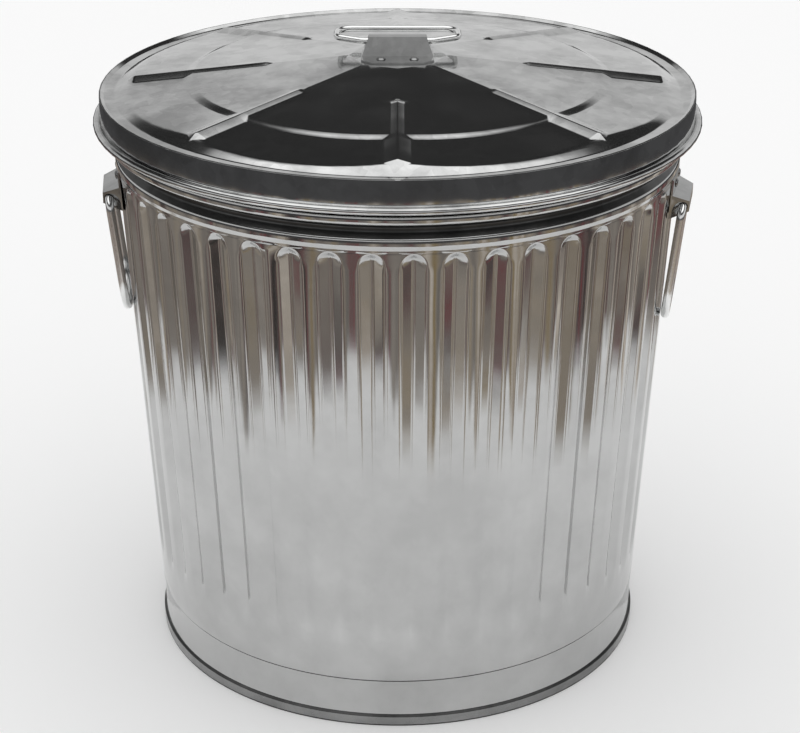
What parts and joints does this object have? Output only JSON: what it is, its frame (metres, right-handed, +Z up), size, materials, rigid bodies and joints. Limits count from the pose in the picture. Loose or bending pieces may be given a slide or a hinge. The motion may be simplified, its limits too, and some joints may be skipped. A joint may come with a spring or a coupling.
{
  "type": "trash can with lid",
  "caption": "Galvanised steel trash can with a fluted tapering body, wire drop handles and a lift-off domed lid with pressed ribs and a wire bail.",
  "frame": {"origin": "centre of the foot, on the floor", "axes": "+Z up; -Y is the front, where the lid's strap has its flange; +X is to the right seen from the front"},
  "size_m": [0.4302, 0.4302, 0.4516],
  "materials": {
    "sheet": "bright galvanised sheet with faint spangle",
    "wire": "galvanised round wire, glossy",
    "fittings": "galvanised pressed strip"
  },
  "bodies": {
    "can": {"can_body": "sheet", "base_pan": "sheet", "left_ear": "fittings", "right_ear": "fittings", "left_ear_rivets": "fittings", "right_ear_rivets": "fittings"},
    "lid": {"lid_shell": "sheet", "lid_handle_strap": "fittings", "lid_strap_rivets": "fittings"},
    "lid_bail": {"lid_handle": "wire"},
    "left_drop_handle": {"left_handle": "wire"},
    "right_drop_handle": {"right_handle": "wire"}
  },
  "joints": [
    {"name": "lid_lift", "type": "slide", "parent": "can", "child": "lid", "axis": [0, 0, 1], "range_m": [0, 0.25]},
    {"name": "lid_handle_swing", "type": "hinge", "parent": "lid", "child": "lid_bail", "pos_m": [0, 0, 0.44792], "axis": [1, 0, 0], "range_deg": [0, 180]},
    {"name": "left_handle_swing", "type": "hinge", "parent": "can", "child": "left_drop_handle", "pos_m": [-0.20487, -0.02153, 0.346], "axis": [-0.1045, 0.9945, 0], "range_deg": [0, 165]},
    {"name": "right_handle_swing", "type": "hinge", "parent": "can", "child": "right_drop_handle", "pos_m": [0.20222, -0.03931, 0.346], "axis": [-0.1908, -0.9816, 0], "range_deg": [0, 165]}
  ]
}
